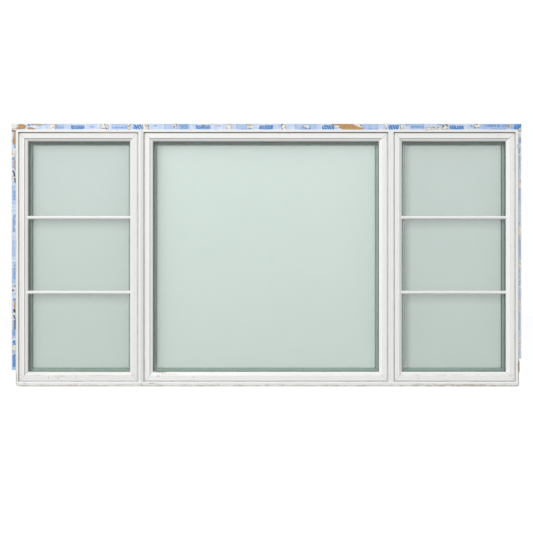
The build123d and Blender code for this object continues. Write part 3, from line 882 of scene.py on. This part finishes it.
def tape_finish():
    """Pale blue film with plain slanted bars, dashes and panels, torn white in places, with painted
    light on the right strip.
    """
    finish = Finish("tape film")

    def layer(name):
        return finish.parts(finish.node("ShaderNodeAttribute", {"attribute_name": name}, {}, "Vector"))

    along, across, _ = layer("strip")
    torn, mark, small = layer("print_0")
    panel, _, _ = layer("print_1")
    wander = finish.noise(finish.place, 26, 4, 0.6)
    fine = finish.noise(finish.place, 190, 4, 0.7)
    wrinkles = finish.noise(finish.vector(along * 75, across * 18), 1, 3, 0.6)
    inked = finish.ramp(fine + wander * 0.6, 0.98, 0.86)
    colour = finish.mix(finish.ramp(wrinkles, 0.42, 0.66), FILM_BLUE, (0.69, 0.735, 0.84))
    colour = finish.mix(finish.ramp(wander, 0.52, 0.68) * 0.5, colour, (0.48, 0.60, 0.85))
    panel_edge = finish.ramp(abs(panel - 0.55), 0.16, 0.06)
    colour = finish.mix(finish.ramp(panel, 0.45, 0.6) * 0.55, colour, PANEL_BLUE)
    colour = finish.mix(panel_edge * 0.4, colour, SMALL_BLUE)
    rows = finish.ramp(abs(across % (3.4 * MM) - 1.7 * MM), 1.3 * MM, 1 * MM)
    dashes = finish.ramp(finish.noise(finish.vector(along * 170, across * 60)), 0.40, 0.46)
    colour = finish.mix(finish.ramp(small, 0.4, 0.6) * rows * dashes * 0.9, colour, SMALL_BLUE)
    slant = abs((along + across * 0.6 + (wander - 0.5) * (16 * MM)) % (12 * MM) - 6 * MM)
    bars = finish.ramp(slant + (fine - 0.5) * (11 * MM), 4.8 * MM, 4 * MM)
    marks = finish.ramp(mark + (wander - 0.5) * 0.9, 0.42, 0.52) * bars * (inked * 0.2 + 0.8)
    colour = finish.mix(marks, colour, MARK_BLUE)
    fold = finish.ramp(across, 6 * MM, -2 * MM) * 0.75
    reach = torn.most(fold) + (wander - 0.5) * 1.3 + (fine - 0.5) * 0.7
    gone = finish.ramp(reach, 0.46, 0.54)
    colour = finish.mix(gone, colour, TORN_WHITE)
    flecks = finish.ramp(fine, 0.52, 0.60) * gone
    colour = finish.mix(flecks * 0.6, colour, TORN_TAN)
    rim = finish.ramp(abs(reach - 0.5), 0.16, 0.06) * finish.ramp(wrinkles, 0.46, 0.54)
    clots = finish.ramp(finish.noise(finish.place, 85, 3, 0.6), 0.53, 0.59) * gone
    dark = (rim.most(clots) * finish.ramp(torn, 0, 0.3)).least(1)
    # Painted light on the right strip, which the jamb shades: weaker dark rims and a near-white wash
    # near the frame
    right_painted_light = finish.ramp(finish.x, RIGHT_EDGE - 2 * MM, RIGHT_EDGE)
    right_painted_light = right_painted_light * finish.ramp(finish.z, FRAME_TOP, FRAME_TOP - 2 * MM)
    colour = finish.mix(dark * (0.85 - right_painted_light * 0.5), colour, TORN_EDGE)
    inner = finish.ramp(finish.x, RIGHT_EDGE + 18 * MM, RIGHT_EDGE + 8 * MM)
    colour = finish.mix(right_painted_light * (inner * 0.55 + 0.2), colour, PAINTED_HIGHLIGHT)
    colour = finish.mix(finish.specks(95, 0.06, 0.2) * 0.6, colour, BROWN_STAIN)
    relief = fine * 0.4 + wrinkles + gone * 0.5
    return finish.painted(colour, gone * 0.3 + 0.36, relief, 0.4, 0.8 * MM)


def tape_shape():
    """Strip on the fin with a lip turned forward along the frame, torn at both edges.

    Along runs from its end, up runs from the fold to the outer edge and forward off the fin.
    """
    shape = Shape("torn tape", length=1.0, width=0.03, lip=0.012, along_steps=100, across_steps=16,
                  wrinkle=0.001, outer_tear=0.002, lip_tear=0.006, seed=0.0,
                  first_nail=0.1, nail_pitch=0.2, nail_line=0.012, nail_radius=0.0025)
    length, width, lip = shape.size("length"), shape.size("width"), shape.size("lip")
    inputs = {"Size X": length, "Size Y": width + lip}
    inputs |= {"Vertices X": shape.size("along_steps"), "Vertices Y": shape.size("across_steps")}
    sheet = shape.node("GeometryNodeMeshGrid", {}, inputs)
    x, y, _ = shape.parts(shape.node("GeometryNodeInputPosition"))
    along, across = x + length / 2, y + (width - lip) / 2

    def uneven(coarse, fine, lift):
        place = shape.vector(along * coarse, across * fine, shape.size("seed") + lift)
        return shape.noise(place, 1.0, 6.0, 0.68)

    outer = shape.ramp(uneven(26.0, 0.0, 3.0), 0.42, 0.75) * shape.size("outer_tear")
    inner = shape.ramp(uneven(18.0, 0.0, 9.0), 0.35, 0.75) * shape.size("lip_tear")
    band = across.most(0.0) * (width - outer) / width
    turned = (0.0 - across).most(0.0) * (lip - inner) / lip
    folds = 1 - abs(uneven(20.0, 55.0, 0.0) * 2.0 - 1) * 3.0
    ripple = uneven(70.0, 110.0, 5.0)
    lift = (folds.most(0.0) * 0.6 + ripple * 0.4) * shape.size("wrinkle")
    on_band = lift * shape.ramp(band, 0.0, 0.004)
    on_lip = lift * shape.ramp(turned, 0.0, 0.004)
    moved = shape.vector(along, band + on_lip, turned + on_band)
    strip = shape.vector(along, across)
    inputs = {"Geometry": sheet, "Name": "strip", "Value": strip}
    settings = {"data_type": "FLOAT_VECTOR", "domain": "POINT"}
    marked = shape.node("GeometryNodeStoreNamedAttribute", settings, inputs)
    inputs = {"Geometry": marked, "Position": moved}
    bent = shape.node("GeometryNodeSetPosition", {}, inputs)
    pitch = shape.size("nail_pitch")
    off = (along - shape.size("first_nail") + pitch / 2) % pitch - pitch / 2
    rise = across - shape.size("nail_line")
    near = (off * off + rise * rise) ** 0.5
    hole = shape.node("FunctionNodeCompare", {"data_type": "FLOAT", "operation": "LESS_THAN"},
                      {0: near, 1: shape.size("nail_radius")})
    settings = {"domain": "POINT", "mode": "ALL"}
    shape.end(shape.node("GeometryNodeDeleteGeometry", settings, {"Geometry": bent, 1: hole}))
    return shape


TAPE_THICKNESS = 0.3 * MM
TAPE_LIP = 12 * MM
TAPE_STEP = 2.6 * MM


def add_tapes():
    """The three strips of flashing tape in place of their plain solids."""
    shape, material = tape_shape(), tape_finish()
    for number, side in enumerate(("head", "left", "right")):
        low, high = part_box(f"{side}_tape")
        size = high - low
        length, width = (size.x, size.z) if side == "head" else (size.z, size.x)
        # Where the strip starts, which way it runs and which way is up on it
        start, along, up = {
            "head": ((low.x, FIN_FACE, FRAME_TOP), (1, 0, 0), (0, 0, 1)),
            "left": ((LEFT_EDGE, FIN_FACE, low.z), (0, 0, 1), (-1, 0, 0)),
            "right": ((RIGHT_EDGE, FIN_FACE, high.z), (0, 0, -1), (1, 0, 0)),
        }[side]
        first_nail = {
            "head": -low.x - HEAD_NAIL,
            "left": (length - SIDE_NAIL) % NAIL_PITCH,
            "right": SIDE_NAIL,
        }[side]
        mesh = shape.mesh(
            f"{side}_tape_film", material, TAPE_THICKNESS,
            length=length, width=width, lip=TAPE_LIP, along_steps=int(length / TAPE_STEP),
            across_steps=int((width + TAPE_LIP) / TAPE_STEP) + 1, wrinkle=1.1 * MM,
            outer_tear=3.5 * MM, lip_tear=8 * MM, seed=4.7 + 3.1 * number,
            first_nail=first_nail, nail_pitch=NAIL_PITCH, nail_line=NAIL_LINE,
        )
        forward = Vector(along).cross(Vector(up))
        turn = Matrix((along, up, forward)).transposed().to_4x4()
        mesh.transform(Matrix.Translation(start) @ turn)
        paint_tape(mesh, side, width)
        show(mesh, f"{side}_tape_film", "flashing_tape", f"{side}_tape")


# Torn wood fibre, mastic and paper on the tape: corners as seen in the photograph
FIBRE = (
    ((15.5, 129.4), (18.4, 127.4), (18.2, 124.9), (19.8, 123.9), (23.2, 124.3), (26, 125.4),
     (25.2, 127.4), (24.2, 128.7), (18.4, 129)),
    ((27.3, 127.3), (31, 127.4), (36.6, 129), (27.7, 129.1)),
    ((30.4, 123.9), (37, 123.8), (43.6, 124.4), (43.2, 124.9), (31, 124.7)),
    ((55, 124.7), (57.7, 125.3), (57.4, 126.1), (55.2, 125.4)),
    ((330.1, 124), (341, 123.8), (352.6, 124), (355.1, 125.7), (363.8, 128.3), (362.8, 129.3),
     (350, 129.1), (341.8, 129.3), (339.3, 126.7), (341.3, 125.2), (335.2, 125)),
    ((13.9, 134), (14.9, 130), (16.1, 130.2), (15.6, 138), (15.5, 144.4), (13.1, 144.5),
     (12.3, 141), (13.4, 136.4)),
    ((14.2, 160), (15.7, 159.8), (15.9, 166), (15.5, 170.4), (14.2, 169.4), (14.5, 164)),
    ((14.4, 300.8), (15.9, 301), (16, 305), (15.6, 309), (14.1, 308.6), (14, 305)),
    ((518.6, 361), (519.5, 361), (519.5, 372), (518.6, 372)),
)
MASTIC = (
    ((12.2, 170.4), (13.3, 170.2), (14.6, 172.6), (15.3, 176.4), (13.9, 176.6), (13.6, 173.6)),
    ((14, 178), (15.9, 178.4), (15.7, 183), (14.6, 182.6)),
    ((13.1, 309.6), (14.7, 308.8), (15.9, 310.6), (15.2, 312.9), (13.6, 312.2)),
    ((13.2, 315.3), (14.3, 315.5), (15.8, 319.6), (14.7, 319.4)),
    ((14.4, 319.8), (15.9, 320), (15.8, 325), (15.9, 329.4), (14.5, 329.2), (14.8, 324)),
    ((12.2, 289.4), (13.8, 290), (13.2, 291.4), (12.3, 291)),
)
PAPER = (
    ((12.2, 124.2), (15, 123.9), (18, 124.6), (17.4, 126.6), (15.4, 128.6), (12.6, 128.8)),
    ((12.8, 149), (14.4, 150.2), (15.6, 149.4), (14.6, 151.6), (15.2, 153.6), (13.2, 152.8)),
    ((12.6, 345.4), (15.3, 346.2), (14.6, 348), (15, 350.6), (13.4, 350), (13.2, 347.6)),
    ((519, 128.4), (521, 129), (520.4, 133), (521, 137.4), (519.3, 136), (519.6, 131)),
    ((400.3, 124.8), (401.4, 124.7), (403, 128), (402.2, 128.6)),
    ((475, 126.9), (478, 124.6), (480.4, 124.8), (479.6, 126.3), (477.4, 127.4)),
)


def ragged_outline(corners, step, jitter, chance):
    """Closed row of points along a polygon, each moved a little."""
    points = []
    for start, end in zip(corners, corners[1:] + corners[:1]):
        start, end = Vector(start), Vector(end)
        count = max(2, int((end - start).length / step))
        for k in range(count):
            point = start.lerp(end, k / count)
            points.append(point + Vector((chance.uniform(-jitter, jitter),
                                          chance.uniform(-jitter, jitter))))
    return points


def scrap(corners, front, thickness, chance):
    """Thin ragged piece on the tape with an uneven face."""
    places = [seen(across, down, front) for across, down in corners]
    low_x, low_z = cad_box[0].x + 0.5 * MM, FRAME_BOTTOM
    high_x, high_z = cad_box[1].x - 0.5 * MM, cad_box[1].z - 0.3 * MM
    work = bmesh.new()
    verts = []
    for point in ragged_outline(places, 1.6 * MM, 0.45 * MM, chance):
        x = min(max(point.x, low_x), high_x)
        z = min(max(point.y, low_z), high_z)
        verts.append(work.verts.new((x, front, z)))
    face = work.faces.new(verts)
    bmesh.ops.triangulate(work, faces=[face])
    bmesh.ops.subdivide_edges(work, edges=work.edges, cuts=1)
    grown = bmesh.ops.extrude_face_region(work, geom=list(work.faces))
    back = [v for v in grown["geom"] if isinstance(v, bmesh.types.BMVert)]
    for v in back:
        v.co.y += thickness
    for v in work.verts:
        if v not in back:
            v.co.y -= chance.uniform(0, 0.5) * MM
    bmesh.ops.recalc_face_normals(work, faces=work.faces)
    mesh = bpy.data.meshes.new("scrap")
    work.to_mesh(mesh)
    work.free()
    return mesh


def joined(meshes, name, material):
    """One mesh out of several."""
    work = bmesh.new()
    for mesh in meshes:
        work.from_mesh(mesh)
        bpy.data.meshes.remove(mesh)
    whole = bpy.data.meshes.new(name)
    work.to_mesh(whole)
    work.free()
    whole.materials.append(material)
    return whole


# Name, corners, thickness, and the finish: name, stretch, noise, edge, share, colours,
# roughness and relief
SCRAPS = (
    ("torn_fibre", FIBRE, 1.0 * MM,
     ("wood fibre", (60, 60, 260), (2.0, 5.0, 0.7, 0.8), (0.35, 0.65), 1.0,
      ((0.36, 0.19, 0.07), (0.66, 0.40, 0.16)), 0.85, (0.8, 1.0 * MM))),
    ("mastic_smears", MASTIC, 1.2 * MM,
     ("mastic", (1, 1, 1), (90.0, 4.0, 0.6), (0.4, 0.8), 1.0,
      ((0.02, 0.02, 0.02), (0.10, 0.09, 0.08)), 0.45, (0.7, 1.0 * MM))),
    ("torn_backing", PAPER, 0.4 * MM,
     ("torn backing", (1, 1, 1), (220.0, 4.0, 0.7), (0.55, 0.66), 0.7,
      (TORN_WHITE, (0.34, 0.29, 0.24)), 0.9, (0.5, 0.6 * MM))),
)


def add_scraps():
    """Wood fibre, mastic and paper that tore off the wall with the tape."""
    chance = random.Random(12)
    for name, places, thickness, look in SCRAPS:
        front = FIN_FACE - 1.6 * MM - thickness
        pieces = [scrap(corners, front, thickness, chance) for corners in places]
        show(joined(pieces, name, mottled_finish(*look)), name, "flashing_tape")


# Studio

SOFT_LIGHT = 0.36
FLOOR_DROP = 2.5
FLOOR_SIZE = 40.0
FLOOR_GLOW = 0.76
# Name, place, size and power
LAMPS = (
    ("key", (-4.6, -10.5, 8.2), 4.5, 1580.0),
    ("back", (5.0, 10.0, 5.0), 5.0, 600.0),
)


def seen_rays(tree):
    """1 for what the camera, reflections and glass see, 0 for the light on surfaces."""
    path = tree.node("ShaderNodeLightPath").socket.node.outputs
    kinds = ("Is Camera Ray", "Is Glossy Ray", "Is Transmission Ray")
    camera, glossy, clear = [Value(tree, path[kind]) for kind in kinds]
    return camera.most(glossy).most(clear)


def add_floor():
    """Pale floor well below the window. The camera sees it white, less the window's shadow."""
    size, level = FLOOR_SIZE, FRAME_BOTTOM - FLOOR_DROP
    mesh = bpy.data.meshes.new("floor")
    corners = [(-size, -size, level), (size, -size, level), (size, size, level), (-size, size, level)]
    mesh.from_pydata(corners, [], [(0, 1, 2, 3)])
    floor = bpy.data.objects.new("floor", mesh)
    bpy.context.scene.collection.objects.link(floor)
    finish = Finish("floor")
    lit = finish.node("ShaderNodeBsdfDiffuse", {}, {"Color": (0.6, 0.6, 0.6)})
    glow = finish.node("ShaderNodeEmission", {}, {"Color": (1, 1, 1), "Strength": FLOOR_GLOW})
    nothing = finish.node("ShaderNodeEmission", {}, {"Strength": 0})
    extra = finish.blend(seen_rays(finish), nothing, glow)
    mesh.materials.append(finish.surface(finish.node("ShaderNodeAddShader", {}, {0: lit, 1: extra})))


def add_world():
    """Soft light from all round that the camera and reflections see as white."""
    world = bpy.data.worlds.new("studio")
    bpy.context.scene.world = world
    world.use_nodes = True
    sky = Nodes(world.node_tree)
    soft = sky.node("ShaderNodeBackground", {}, {"Color": (1, 1, 1), "Strength": SOFT_LIGHT})
    white = sky.node("ShaderNodeBackground", {}, {"Color": (1, 1, 1), "Strength": 1.0})
    sky.node("ShaderNodeOutputWorld", {}, {"Surface": sky.blend(seen_rays(sky), soft, white)})


def add_lamp(name, place, size, power):
    """Large soft lamp turned to the middle of the window."""
    light = bpy.data.lights.new(name, "AREA")
    light.shape, light.size, light.energy = "SQUARE", size, power
    lamp = bpy.data.objects.new(name, light)
    lamp.location = place
    towards = Vector((0, 0, CAMERA_Z)) - Vector(place)
    lamp.rotation_euler = towards.to_track_quat("-Z", "Y").to_euler()
    bpy.context.scene.collection.objects.link(lamp)


def add_camera():
    """Camera square on to the window, where the photograph was taken from."""
    camera = bpy.data.cameras.new("camera")
    camera.lens, camera.sensor_width = LENS, 36.0
    holder = bpy.data.objects.new("camera", camera)
    holder.location = (CAMERA_X, FRAME_FACE - CAMERA_DISTANCE, CAMERA_Z)
    holder.rotation_euler = (math.pi / 2, 0, 0)
    bpy.context.scene.collection.objects.link(holder)
    bpy.context.scene.camera = holder


dress_cladding()
dress_sashes()
dress(bar_finish(), "left_glazing_bars", "right_glazing_bars")
dress(wood_frame_finish(), *[f"{unit}_wood_frame" for unit in UNITS])
dress(inner_stop_finish(), *[f"{unit}_inner_stops" for unit in UNITS])
dress_glass()
dress(spacer_finish(), "glass_spacers")
dress(seal_finish(), "glazing_seals")
dress(fin_finish(), "head_fin", "left_fin", "right_fin")
add_weather_strips()
add_tapes()
add_scraps()
add_floor()
add_world()
for lamp in LAMPS:
    add_lamp(*lamp)
add_camera()
bpy.context.scene.view_settings.view_transform = "Standard"
